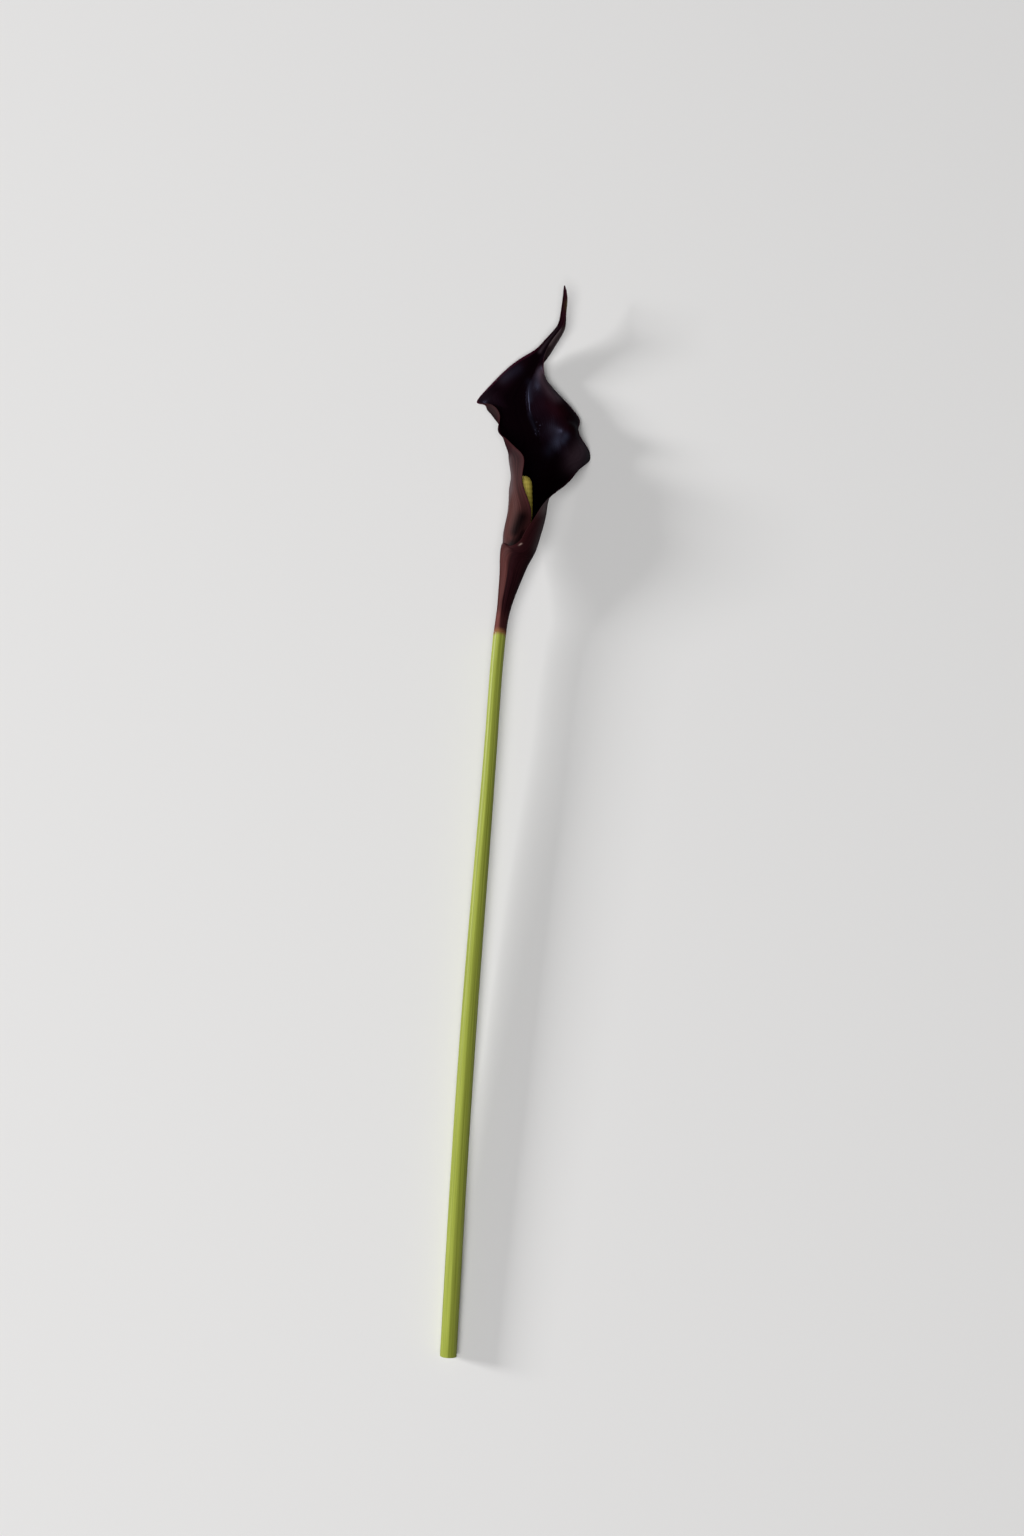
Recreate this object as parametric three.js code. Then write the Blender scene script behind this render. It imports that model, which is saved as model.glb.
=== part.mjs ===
// A calla lily flower, cut and laid on its back: the stem, the rolled and waved spathe with its
// twisted tail, and the beaded spadix inside it.
//
// Millimetres, +Z up. The flower lies along Y, with the cut end at -Y and the tail at +Y. It rests
// on three low points: the underside of the cut end, and one lobe of the spathe on each side.
// Every place below is measured from the neck, where the stem ends and the spathe begins, and from
// the surface under the flower. The last lines move the group so that the origin is in the middle
// of its footprint.

import * as THREE from 'three';

// ---- driving dimensions

const SEAT_GAP = 0.35; // between touching pieces

const STEM_LENGTH = 400; // from the cut end to the neck
const CUT_RADIUS = 4.6; // of the stem's cut end, which rests on the surface
const NECK_HEIGHT = 13; // of the stem's middle, above the surface
const CORE_LENGTH = 8; // of the stem's slim top, hidden inside the foot of the spathe
const CORE_RADIUS = 2.2;

const SHEET_THICKNESS = 0.7; // of the spathe
const LAYER_STEP = 1.35; // how far the left flap lies inside the right one, middle to middle
const LAYER_STARTS = { degrees: [20, 80], along: [4, 12] }; // where it is drawn in, and from where
const TUBE_RISE = 0.045; // of the tube's middle, for each millimetre along it

const SPADIX_RADIUS = 3.9;
const DOME_LENGTH = 6.2; // of the spadix's rounded end
const BEAD_HEIGHT = 0.3;
const BEAD_LENGTH = 4.6; // along the spadix
const BEADS_AROUND = 7;

// How finely each piece is faceted.
const LINES_EACH_SIDE = 6; // lengthwise lines that carry the sheet from rib to rib
const RIB_EVENNESS = 0.8; // 1 spaces the cells evenly along the sheet, 0 gives each rib as many
const SPATHE_CELLS = { across: 36, along: 60 };
const STEM_FACETS = { around: 20, along: 22 };
const SPADIX_FACETS = { around: 28, along: 52 };

// ---- where the pieces run: [sideways, along, height]

const STEM_LINE = [
  [-28.4, -STEM_LENGTH, CUT_RADIUS],
  [-22.6, -300, 6.5],
  [-15.8, -200, 8.6],
  [-8.1, -104, 10.6],
  [-4.3, -55, 11.8],
  [0.25, 0, NECK_HEIGHT],
  [1.2, CORE_LENGTH, tubeHeight(CORE_LENGTH)],
];

const SPADIX_LINE = [
  [1.3, CORE_LENGTH + SEAT_GAP, 13.4],
  [2.5, 14, 13.6],
  [4, 20, 13.9],
  [6.9, 32, 14.5],
  [9.9, 44, 15.3],
  [12.6, 53.5, 15.9],
  [14.1, 62, 16.4],
  [14.5, 72, 16.8],
  [14.2, 86, 17.5],
];

// How thick the two are. `at` goes from 0 where the line begins to 1 at the neck, or at the tip.
const STEM_GIRTH = { at: [0, 0.72, 0.9, 1], radius: [CUT_RADIUS, 3.9, 3.45, 3.55] };
const SPADIX_GIRTH = {
  at: [0, 0.07, 0.16, 0.33, 0.6, 0.9, 1],
  radius: [1.6, 1.7, 2.3, 3.6, SPADIX_RADIUS, SPADIX_RADIUS, SPADIX_RADIUS],
};

// ---- the spathe's ribs
//
// The sheet is drawn through ribs that run across it, from the left margin over the back to the
// right margin.

// The tube that the sheet is rolled into: where its middle goes, and its radius.
const TUBE = [
  { side: 0.3, along: SEAT_GAP, radius: 3.2 }, // the neck
  { side: 1.1, along: 7, radius: 3.2 },
  { side: 2.2, along: 13, radius: 3.5 },
  { side: 3.7, along: 20, radius: 4.4 },
  { side: 6.7, along: 32.5, radius: 6.4 }, // the shoulder
  { side: 9.4, along: 43, radius: 8.5 },
  { side: 11.1, along: 48.7, radius: 9.4 }, // the collar
  { side: 11.7, along: 53.5, radius: 10.25 },
  { side: 13.3, along: 60.2, radius: 10.65 }, // where the margins cross
  { side: 14.9, along: 68.2, radius: 10.9 }, // the throat
  { side: 16.6, along: 77, radius: 11.4 }, // the mouth
];

// How the ribs run round the tube. `reach` is how many degrees each margin goes round from the
// back of the tube: past 360 in all the two overlap, the left one inside. A rib leaves the back at
// `at`, and it climbs by `climb` to its right margin, which makes the edge of the collar.
const ROLLED = [
  { at: SEAT_GAP, climb: 0, reach: [64, 288] },
  { at: 7, climb: 0.4, reach: [62, 288] },
  { at: 13, climb: 1, reach: [60, 288] },
  { at: 19, climb: 2, reach: [95, 288] },
  { at: 29.5, climb: 3.5, reach: [130, 285] },
  { at: 36, climb: 5.5, reach: [155, 279] },
  { at: 38, climb: 6.5, reach: [162, 268] },
  // the edge of the collar
  { at: 39.2, climb: 7, reach: [166, 250] },
  { at: 40, climb: 6.4, reach: [169, 230] },
  { at: 40.9, climb: 5.7, reach: [172, 210] },
  { at: 42, climb: 5.8, reach: [177, 193] },
  { at: 43.8, climb: 6, reach: [184, 178] },
  // the margins cross
  { at: 46.8, climb: 6.1, reach: [192, 169] },
  { at: 53.5, climb: 5.9, reach: [203, 157] },
  { at: 58.5, climb: 5, reach: [203, 147] },
  { at: 64.5, climb: 3.5, reach: [199, 136] },
];

// The limb opens out, so its ribs are drawn by hand, with seven points each: left margin, left
// wall, left floor, midrib, right floor, right wall, right margin.
const LIMB = [
  // the mouth, the right margin turning out
  [[13.2, 77.6, 26.3], [6.3, 77.5, 19.8], [7.6, 77.8, 10.2], [17.3, 77.8, 5.1], [24.3, 77.3, 7.6],
    [27.6, 76.3, 13], [29.4, 75.1, 18.6]],
  [[12.4, 85.1, 26.8], [7, 84.9, 19.5], [9.4, 85.6, 9.2], [19.3, 86.1, 4.7], [28.1, 85, 8],
    [33.5, 83.2, 13.2], [37.7, 81.9, 16]],
  [[13.3, 93.1, 26.3], [5.8, 93, 18.5], [9.9, 94, 8.2], [21, 94.4, 4.3], [31.4, 92.9, 9],
    [38.8, 91, 12.3], [43.6, 89.3, 11.5]],
  // the low lobe on the right, which rests on the surface
  [[8.7, 100, 23], [4.9, 99, 16], [10.7, 99.6, 7.4], [21.8, 100, 4.1], [33, 99.4, 9.6],
    [42.4, 97.8, 10.5], [50, 96.6, 0.4]],
  [[2.9, 106, 18], [3.1, 104.7, 13], [10.5, 104.7, 7.2], [21.8, 105.6, 3.9], [32.4, 105.6, 9.6],
    [40.8, 104.5, 10.3], [48.1, 103.2, 3.5]],
  // the notch on the right
  [[-0.8, 111.4, 14], [2, 110.8, 11.2], [9.4, 110.4, 6.9], [20.4, 111.1, 3.6], [30.6, 111.6, 10],
    [36.6, 111.2, 12.6], [43, 111.3, 8.4]],
  // the wave on the left, which curls up over the sheet
  [[0.1, 118.6, 13.5], [-1.8, 116.9, 10], [6.6, 116.2, 7], [17.7, 117, 3.3], [28.4, 118, 9.2],
    [36.9, 117.2, 10.6], [44.3, 116.9, 4]],
  [[-3.6, 124.8, 10], [-5.4, 121.9, 7.6], [4.9, 121, 6.8], [16, 122, 3.1], [25.9, 123.2, 8],
    [33, 123.2, 9.5], [40.6, 123.1, 4.4]],
  [[-7.8, 126.8, 6], [-7.2, 125, 5.4], [4.2, 124.1, 6.6], [15.6, 125, 2.9], [24.8, 126.5, 7.5],
    [31.4, 126.4, 9.2], [37.6, 126.5, 5]],
  // the lobe on the left, which rests on the surface
  [[-11.9, 128.9, 0.4], [-5.6, 129.6, 5.3], [4, 128.4, 6.3], [15.2, 128.4, 2.7], [23.6, 130, 7],
    [29.6, 130.2, 8.9], [34.5, 129.6, 5.4]],
  [[-7.4, 134.7, 2.2], [-2.5, 134, 4.9], [5.6, 133.1, 5.5], [15.1, 134, 2.5], [21.8, 135.5, 6],
    [26, 135.7, 8], [29, 135.4, 6]],
  [[1.4, 143.5, 3.5], [4.8, 141.5, 5], [9.9, 139.8, 4.8], [16.6, 140.1, 2.4], [20.7, 141.3, 5],
    [23.5, 141.5, 7.2], [25.3, 140.6, 6.5]],
  // the limb narrows to a gutter, its right margin folded in
  [[11.1, 151.2, 4.8], [13.1, 149.4, 5.2], [16.1, 147.1, 4.5], [19.2, 146.7, 2.6], [21.4, 147.1, 4.6],
    [23.5, 147.3, 7], [24.2, 146, 8.5]],
  [[20, 156.4, 6.5], [20.8, 155.7, 5.5], [22.2, 154.2, 4.2], [23.6, 153.2, 3.8], [25.6, 152.3, 5.5],
    [26.6, 152.1, 8.5], [24.9, 152.6, 10.5]],
  [[26, 162.1, 9.5], [26.5, 161.4, 7.5], [27.7, 160.2, 6.2], [29.3, 160, 6.2], [31.1, 160, 7.5],
    [32, 160.7, 10], [29.5, 161.1, 12.2]],
  // the crossing, where the tail begins
  [[32.1, 169, 11.5], [31.8, 168.3, 10], [32.3, 167.5, 9], [33.5, 166.9, 8.8], [34.9, 167, 10],
    [35.9, 167.5, 12], [34.7, 168, 13.5]],
];

// The tail is rolled up again, to a slim horn. It leans to the right, then a little to the left.
const TAIL = [
  { side: 35.2, along: 176, height: 12.2, radius: 1.3, reach: 110, lean: 8 },
  { side: 36, along: 183.5, height: 13.2, radius: 1, reach: 75, lean: -3 },
  { side: 35.8, along: 190, height: 13.6, radius: 0.8, reach: 60, lean: -10 }, // the tip
];

// ---- helpers

const UP = new THREE.Vector3(0, 0, 1);
const { smoothstep } = THREE.MathUtils;

function tubeHeight(along) {
  return NECK_HEIGHT + TUBE_RISE * along;
}

// A natural cubic spline through numbers: smooth in slope and in curvature, and straight at both
// ends. The bends at the knots come from one sweep down and one sweep up.
function numberSpline(knots, values) {
  const last = knots.length - 1;
  const bend = new Array(last + 1).fill(0);
  const carry = new Array(last + 1).fill(0);
  for (let i = 1; i < last; i += 1) {
    const before = knots[i] - knots[i - 1];
    const after = knots[i + 1] - knots[i];
    const turn = (values[i + 1] - values[i]) / after - (values[i] - values[i - 1]) / before;
    const pivot = 2 * (before + after) - before * carry[i - 1];
    carry[i] = after / pivot;
    bend[i] = (6 * turn - before * bend[i - 1]) / pivot;
  }
  for (let i = last - 1; i > 0; i -= 1) {
    bend[i] -= carry[i] * bend[i + 1];
  }
  return (at) => {
    let i = 0;
    while (i < last - 1 && at > knots[i + 1]) {
      i += 1;
    }
    const span = knots[i + 1] - knots[i];
    const b = (at - knots[i]) / span;
    const a = 1 - b;
    const curve = (a ** 3 - a) * bend[i] + (b ** 3 - b) * bend[i + 1];
    return a * values[i] + b * values[i + 1] + (curve * span * span) / 6;
  };
}

// The same through points.
function pointSpline(knots, points) {
  const x = numberSpline(knots, points.map((point) => point.x));
  const y = numberSpline(knots, points.map((point) => point.y));
  const z = numberSpline(knots, points.map((point) => point.z));
  return (at) => new THREE.Vector3(x(at), y(at), z(at));
}

// Knots from 0 to 1, spaced as the given distances are.
function knotsFrom(distances) {
  const knots = [0];
  distances.forEach((distance) => knots.push(knots[knots.length - 1] + distance));
  return knots.map((knot) => knot / knots[knots.length - 1]);
}

// The same for points, by the straight distance from each to the next.
function chordKnots(points) {
  return knotsFrom(points.slice(1).map((point, k) => point.distanceTo(points[k])));
}

// The lengthwise lines of the spathe, as steps from -1 at the left margin to 1 at the right.
const lineSteps = Array.from({ length: 2 * LINES_EACH_SIDE + 1 }, (unused, k) => k / LINES_EACH_SIDE - 1);

// A point of a round rib: `out` from its middle, at an angle in degrees counted from the back.
function roundPoint(middle, sideways, out, degrees) {
  const angle = THREE.MathUtils.degToRad(degrees);
  const down = new THREE.Vector3(0, 0, -1);
  return middle.clone()
    .addScaledVector(sideways, out * Math.sin(angle))
    .addScaledVector(down, out * Math.cos(angle));
}

// A rib of the tube. It climbs towards the right margin, and from the foot up its left side is
// drawn in by one layer.
function rolledRib(tube, { at, climb, reach }) {
  const [left, right] = reach;
  return lineSteps.map((step) => {
    const degrees = step < 0 ? step * left : step * right;
    const { middle, sideways, radius } = tube(at + climb * Math.max(0, step) ** 2);
    const drawnIn = smoothstep(-degrees, ...LAYER_STARTS.degrees) * smoothstep(at, ...LAYER_STARTS.along);
    return roundPoint(middle, sideways, radius - LAYER_STEP * drawnIn, degrees);
  });
}

// The tube as a function of how far along it one is.
function rolledTube() {
  const knots = TUBE.map(({ along }) => along);
  const sideAt = numberSpline(knots, TUBE.map(({ side }) => side));
  const radiusAt = numberSpline(knots, TUBE.map(({ radius }) => radius));
  return (at) => ({
    middle: new THREE.Vector3(sideAt(at), at, tubeHeight(at)),
    sideways: new THREE.Vector3(1, sideAt(at - 1) - sideAt(at), 0).normalize(),
    radius: radiusAt(at),
  });
}

// A rib drawn by hand: a curve through its seven points, with a point more between each two.
function drawnRib(rib) {
  const points = rib.map((place) => new THREE.Vector3(...place));
  const knots = chordKnots(points);
  const curve = pointSpline(knots, points);
  return lineSteps.map((step, k) => curve((knots[Math.floor(k / 2)] + knots[Math.ceil(k / 2)]) / 2));
}

// A rib of the tail, round about a middle of its own.
function tailRib({ side, along, height, radius, reach, lean }) {
  const middle = new THREE.Vector3(side, along, height);
  const sideways = new THREE.Vector3(1, 0, 0).applyAxisAngle(UP, -THREE.MathUtils.degToRad(lean));
  return lineSteps.map((step) => roundPoint(middle, sideways, radius, step * reach));
}

// How far apart two ribs are, where they are furthest apart.
function ribDistance(one, other) {
  return Math.max(...one.map((point, k) => point.distanceTo(other[k])));
}

// A grid of points laid over the sheet's ribs, with rows across it and columns along it.
function ribGrid(ribAt, { across, along }) {
  const grid = new THREE.PlaneGeometry(1, 1, across, along);
  for (let row = 0; row <= along; row += 1) {
    const rib = ribAt(row / along);
    for (let column = 0; column <= across; column += 1) {
      const { x, y, z } = rib(column / across);
      grid.attributes.position.setXYZ(row * (across + 1) + column, x, y, z);
    }
  }
  grid.computeVertexNormals();
  return grid;
}

// The grid's points round its edge, in order.
function gridEdge({ across, along }) {
  const edge = [];
  const corner = (row, column) => row * (across + 1) + column;
  for (let column = 0; column < across; column += 1) {
    edge.push(corner(0, column));
  }
  for (let row = 0; row < along; row += 1) {
    edge.push(corner(row, across));
  }
  for (let column = across; column > 0; column -= 1) {
    edge.push(corner(along, column));
  }
  for (let row = along; row > 0; row -= 1) {
    edge.push(corner(row, 0));
  }
  return edge;
}

// A sheet of even thickness about a grid, closed all round. Both faces are split into the same
// triangles, so they stay parallel however the sheet waves.
function thickSheet(grid, cells, thickness) {
  const { position, normal } = grid.attributes;
  const outer = [];
  const inner = [];
  for (let i = 0; i < position.count; i += 1) {
    const point = new THREE.Vector3().fromBufferAttribute(position, i);
    const half = new THREE.Vector3().fromBufferAttribute(normal, i).multiplyScalar(thickness / 2);
    outer.push(...point.clone().add(half));
    inner.push(...point.clone().sub(half));
  }
  const faces = Array.from(grid.index.array);
  const under = position.count;
  for (let i = 0; i < grid.index.count; i += 3) {
    faces.push(under + faces[i], under + faces[i + 2], under + faces[i + 1]);
  }
  const edge = gridEdge(cells);
  edge.forEach((here, i) => {
    const next = edge[(i + 1) % edge.length];
    faces.push(here, next, under + next, here, under + next, under + here);
  });
  const sheet = new THREE.BufferGeometry();
  sheet.setAttribute('position', new THREE.Float32BufferAttribute([...outer, ...inner], 3));
  sheet.setIndex(faces);
  return sheet;
}

// A smooth curve through places, for a piece to bend along.
function centrelineThrough(places) {
  return new THREE.CatmullRomCurve3(places.map((place) => new THREE.Vector3(...place)));
}

// Bends an upright turned shape along a centreline of its own length.
function bendAlong(shape, centreline) {
  const length = centreline.getLength();
  const { position } = shape.attributes;
  for (let i = 0; i < position.count; i += 1) {
    const at = Math.min(position.getY(i) / length, 1);
    const forward = centreline.getTangentAt(at);
    const sideways = new THREE.Vector3().crossVectors(forward, UP).normalize();
    const upward = new THREE.Vector3().crossVectors(sideways, forward);
    const { x, y, z } = centreline.getPointAt(at)
      .addScaledVector(sideways, position.getX(i))
      .addScaledVector(upward, position.getZ(i));
    position.setXYZ(i, x, y, z);
  }
  return shape;
}

// ---- the pieces

// The stem: turned from the cut end up, with a square shoulder under the spathe's foot and a core
// that goes on inside it.
function makeStem() {
  const centreline = centrelineThrough(STEM_LINE);
  const length = centreline.getLength();
  const shoulder = length - CORE_LENGTH;
  const radiusAt = numberSpline(STEM_GIRTH.at, STEM_GIRTH.radius);
  const profile = [new THREE.Vector2(0, 0)];
  for (let i = 0; i <= STEM_FACETS.along; i += 1) {
    const at = i / STEM_FACETS.along;
    profile.push(new THREE.Vector2(radiusAt(at), at * shoulder));
  }
  profile.push(new THREE.Vector2(CORE_RADIUS, shoulder));
  profile.push(new THREE.Vector2(CORE_RADIUS, length));
  profile.push(new THREE.Vector2(0, length));
  return bendAlong(new THREE.LatheGeometry(profile, STEM_FACETS.around), centreline);
}

// The spathe: one sheet through all its ribs, with more cells where the ribs lie further apart.
function makeSpathe() {
  const tube = rolledTube();
  const ribs = [
    ...ROLLED.map((rib) => rolledRib(tube, rib)),
    ...LIMB.map((rib) => drawnRib(rib)),
    ...TAIL.map((rib) => tailRib(rib)),
  ];
  const knots = knotsFrom(ribs.slice(1).map((rib, i) => ribDistance(rib, ribs[i]) ** RIB_EVENNESS));
  const lines = lineSteps.map((step, k) => pointSpline(knots, ribs.map((rib) => rib[k])));
  const ribAt = (at) => {
    const points = lines.map((line) => line(at));
    return pointSpline(chordKnots(points), points);
  };
  return thickSheet(ribGrid(ribAt, SPATHE_CELLS), SPATHE_CELLS, SHEET_THICKNESS);
}

// Raises beads in rows that wind both ways round an upright turned shape. They fade out where it
// is slim.
function raiseBeads(shape) {
  const { position } = shape.attributes;
  for (let i = 0; i < position.count; i += 1) {
    const x = position.getX(i);
    const z = position.getZ(i);
    const radius = Math.hypot(x, z);
    const around = BEADS_AROUND * Math.atan2(x, z);
    const along = (Math.PI * position.getY(i)) / BEAD_LENGTH;
    const bead = Math.cos(around + along) * Math.cos(around - along);
    const height = BEAD_HEIGHT * bead * smoothstep(radius, SPADIX_RADIUS / 2, SPADIX_RADIUS);
    const grown = radius > 0 ? 1 + height / radius : 1;
    position.setX(i, x * grown);
    position.setZ(i, z * grown);
  }
  return shape;
}

// The spadix: a finger on the end of the stem's core, slim in the tube's foot and full from the
// shoulder up, with a domed end.
function makeSpadix() {
  const centreline = centrelineThrough(SPADIX_LINE);
  const length = centreline.getLength();
  const radiusAt = numberSpline(SPADIX_GIRTH.at, SPADIX_GIRTH.radius);
  const profile = [new THREE.Vector2(0, 0)];
  for (let i = 0; i < SPADIX_FACETS.along; i += 1) {
    const at = i / SPADIX_FACETS.along;
    const intoDome = Math.max(0, 1 - ((1 - at) * length) / DOME_LENGTH);
    profile.push(new THREE.Vector2(radiusAt(at) * Math.sqrt(1 - intoDome ** 2), at * length));
  }
  profile.push(new THREE.Vector2(0, length));
  const finger = new THREE.LatheGeometry(profile, SPADIX_FACETS.around);
  return bendAlong(raiseBeads(finger), centreline);
}

// ---- the flower

const stemGreen = new THREE.MeshStandardMaterial({ color: 0x6d7a2c, roughness: 0.5, metalness: 0 });
const darkBurgundy = new THREE.MeshStandardMaterial({ color: 0x3d1c22, roughness: 0.45, metalness: 0 });
const oliveYellow = new THREE.MeshStandardMaterial({ color: 0x9a8f3a, roughness: 0.7, metalness: 0 });

function piece(name, geometry, material) {
  geometry.computeVertexNormals();
  const mesh = new THREE.Mesh(geometry, material);
  mesh.name = name;
  return mesh;
}

const flower = new THREE.Group();
flower.add(piece('stem', makeStem(), stemGreen));
flower.add(piece('spathe', makeSpathe(), darkBurgundy));
flower.add(piece('spadix', makeSpadix(), oliveYellow));

const box = new THREE.Box3().setFromObject(flower, true);
const middle = box.getCenter(new THREE.Vector3());
flower.position.set(-middle.x, -middle.y, -box.min.z);

export default flower;
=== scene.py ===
import bpy
import numpy as np
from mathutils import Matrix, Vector


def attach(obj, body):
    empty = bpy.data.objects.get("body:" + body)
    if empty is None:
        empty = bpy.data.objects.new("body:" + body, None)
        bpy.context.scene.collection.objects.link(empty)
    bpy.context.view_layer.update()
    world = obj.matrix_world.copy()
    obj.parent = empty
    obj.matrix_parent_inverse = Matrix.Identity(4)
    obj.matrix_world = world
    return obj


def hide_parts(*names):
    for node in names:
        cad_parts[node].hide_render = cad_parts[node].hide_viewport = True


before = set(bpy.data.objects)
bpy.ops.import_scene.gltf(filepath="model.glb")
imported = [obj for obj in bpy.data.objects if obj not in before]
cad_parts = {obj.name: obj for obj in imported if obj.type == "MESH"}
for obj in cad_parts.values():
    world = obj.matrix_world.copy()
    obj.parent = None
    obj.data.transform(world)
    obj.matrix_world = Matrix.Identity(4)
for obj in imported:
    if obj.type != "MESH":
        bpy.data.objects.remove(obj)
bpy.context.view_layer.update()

# A dark calla lily flower, cut and laid on its back on a pale table, seen from straight above.
# Every place is in mm from the neck, where the stem ends and the spathe begins: sideways,
# along the flower towards the tail, and up from the table. toRow turns it to the frame's metres.
mm = 0.001
neckPlace = np.array([-8.742, 105.063, 0.002])  # the neck in the frame, straight down on the table


def toRow(points):
    # mm from the neck to metres in the frame.
    return (np.asarray(points, float) + neckPlace) * mm


def linear(hexColour):
    # sRGB hex to linear light: c / 12.92 near black, ((c + 0.055) / 1.055) ^ 2.4 above it.
    srgb = [int(hexColour[i:i + 2], 16) / 255 for i in (1, 3, 5)]
    return tuple(c / 12.92 if c <= 0.04045 else ((c + 0.055) / 1.055) ** 2.4 for c in srgb) + (1.0,)


def smoothStep(values, low, high):
    # 0 below low, 1 above high, and 3 x^2 - 2 x^3 of the way between.
    share = np.clip((values - low) / (high - low), 0, 1)
    return share * share * (3 - 2 * share)


def bell(values, width):
    # exp(-(x / width)^2): 1 at 0, and next to nothing two widths away.
    return np.exp(-(values / width) ** 2)


def naturalSpline(knots, values, at):
    # A natural cubic spline for each row: knots (.., n), values (.., n, d), at (.., m). The bends
    # solve h0 b0 + 2 (h0 + h1) b1 + h1 b2 = 6 (slope1 - slope0), with none at either end.
    steps = np.diff(knots, axis=-1)
    slopes = np.diff(values, axis=-2) / steps[..., None]
    count = knots.shape[-1]
    inner = np.arange(1, count - 1)
    matrix = np.zeros(knots.shape + (count,))
    matrix[..., 0, 0] = matrix[..., -1, -1] = 1
    matrix[..., inner, inner - 1] = steps[..., :-1]
    matrix[..., inner, inner] = 2 * (steps[..., :-1] + steps[..., 1:])
    matrix[..., inner, inner + 1] = steps[..., 1:]
    turns = np.zeros(values.shape)
    turns[..., 1:-1, :] = 6 * np.diff(slopes, axis=-2)
    bends = np.linalg.solve(matrix, turns)
    index = (at[..., :, None] >= knots[..., None, 1:-1]).sum(-1)

    def pick(table, shift=0):
        return np.take_along_axis(table, index + shift, axis=-1)

    def pickRows(table, shift=0):
        return np.take_along_axis(table, (index + shift)[..., None], axis=-2)

    span = pick(steps)[..., None]
    after = (at - pick(knots))[..., None] / span
    before = 1 - after
    curve = (before ** 3 - before) * pickRows(bends) + (after ** 3 - after) * pickRows(bends, 1)
    return before * pickRows(values) + after * pickRows(values, 1) + curve * span ** 2 / 6


def knotsFrom(distances):
    # Knots from 0 to 1, spaced as the distances are.
    total = np.cumsum(distances, axis=-1)
    start = np.zeros(total.shape[:-1] + (1,))
    return np.concatenate([start, total], axis=-1) / total[..., -1:]


def splineThrough(places, share):
    # Points on a smooth curve through places, at shares of its length, and its unit direction at
    # each of them.
    places = np.array(places, float)
    knots = knotsFrom(np.linalg.norm(np.diff(places, axis=0), axis=1))
    fine = naturalSpline(knots, places, np.linspace(0, 1, 2000))
    walked = knotsFrom(np.linalg.norm(np.diff(fine, axis=0), axis=1))
    points = np.stack([np.interp(share, walked, fine[:, axis]) for axis in range(3)], axis=1)
    return points, unit(np.gradient(points, axis=0))


def unit(vectors):
    # Each vector divided by its length.
    return vectors / np.maximum(np.linalg.norm(vectors, axis=-1, keepdims=True), 1e-12)


def ringQuads(rings, around):
    # Quads between closed rings of points, counted ring by ring.
    ring = np.arange(rings - 1)[:, None]
    point = np.arange(around)[None, :]
    here = ring * around + point
    beside = ring * around + (point + 1) % around
    return np.stack([here, beside, beside + around, here + around], axis=-1).reshape(-1, 4)


def makeMesh(name, points, quads, attributes, slots=None, uv=None):
    # points (n, 3) in mm from the neck, quads (m, 4) with the last corner repeated in a triangle,
    # each attribute (n), slots (m) and uv (n, 2).
    mesh = bpy.data.meshes.new(name)
    isTriangle = quads[:, 3] == quads[:, 2]
    sizes = np.where(isTriangle, 3, 4)
    keep = np.ones(quads.shape, bool)
    keep[isTriangle, 3] = False
    loops = quads[keep].astype(np.int32)
    starts = np.concatenate([[0], np.cumsum(sizes)[:-1]]).astype(np.int32)
    mesh.vertices.add(len(points))
    mesh.vertices.foreach_set("co", toRow(points).astype(np.float32).ravel())
    mesh.loops.add(len(loops))
    mesh.loops.foreach_set("vertex_index", loops)
    mesh.polygons.add(len(sizes))
    mesh.polygons.foreach_set("loop_start", starts)
    mesh.polygons.foreach_set("use_smooth", np.ones(len(sizes), bool))
    if slots is not None:
        mesh.polygons.foreach_set("material_index", slots.astype(np.int32))
    if uv is not None:
        layer = mesh.uv_layers.new(name="grown")
        layer.data.foreach_set("uv", uv[loops].astype(np.float32).ravel())
    for key, values in attributes.items():
        layer = mesh.attributes.new(key, "FLOAT", "POINT")
        layer.data.foreach_set("value", values.astype(np.float32).ravel())
    mesh.update()
    mesh.validate()
    piece = bpy.data.objects.new(name, mesh)
    bpy.context.scene.collection.objects.link(piece)
    return piece


def addNode(material, kind, settings=None, links=None):
    # Adds one node to a material or the world: settings name its properties or input sockets, and
    # links name the outputs it reads.
    node = material.node_tree.nodes.new(kind)
    for key, value in (settings or {}).items():
        if isinstance(key, str) and hasattr(node, key):
            setattr(node, key, value)
        else:
            node.inputs[key].default_value = value
    for key, source in (links or {}).items():
        material.node_tree.links.new(source, node.inputs[key])
    return node


# The spathe: one sheet that is rolled, opens out, waves and ends in a twisted tail.

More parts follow.
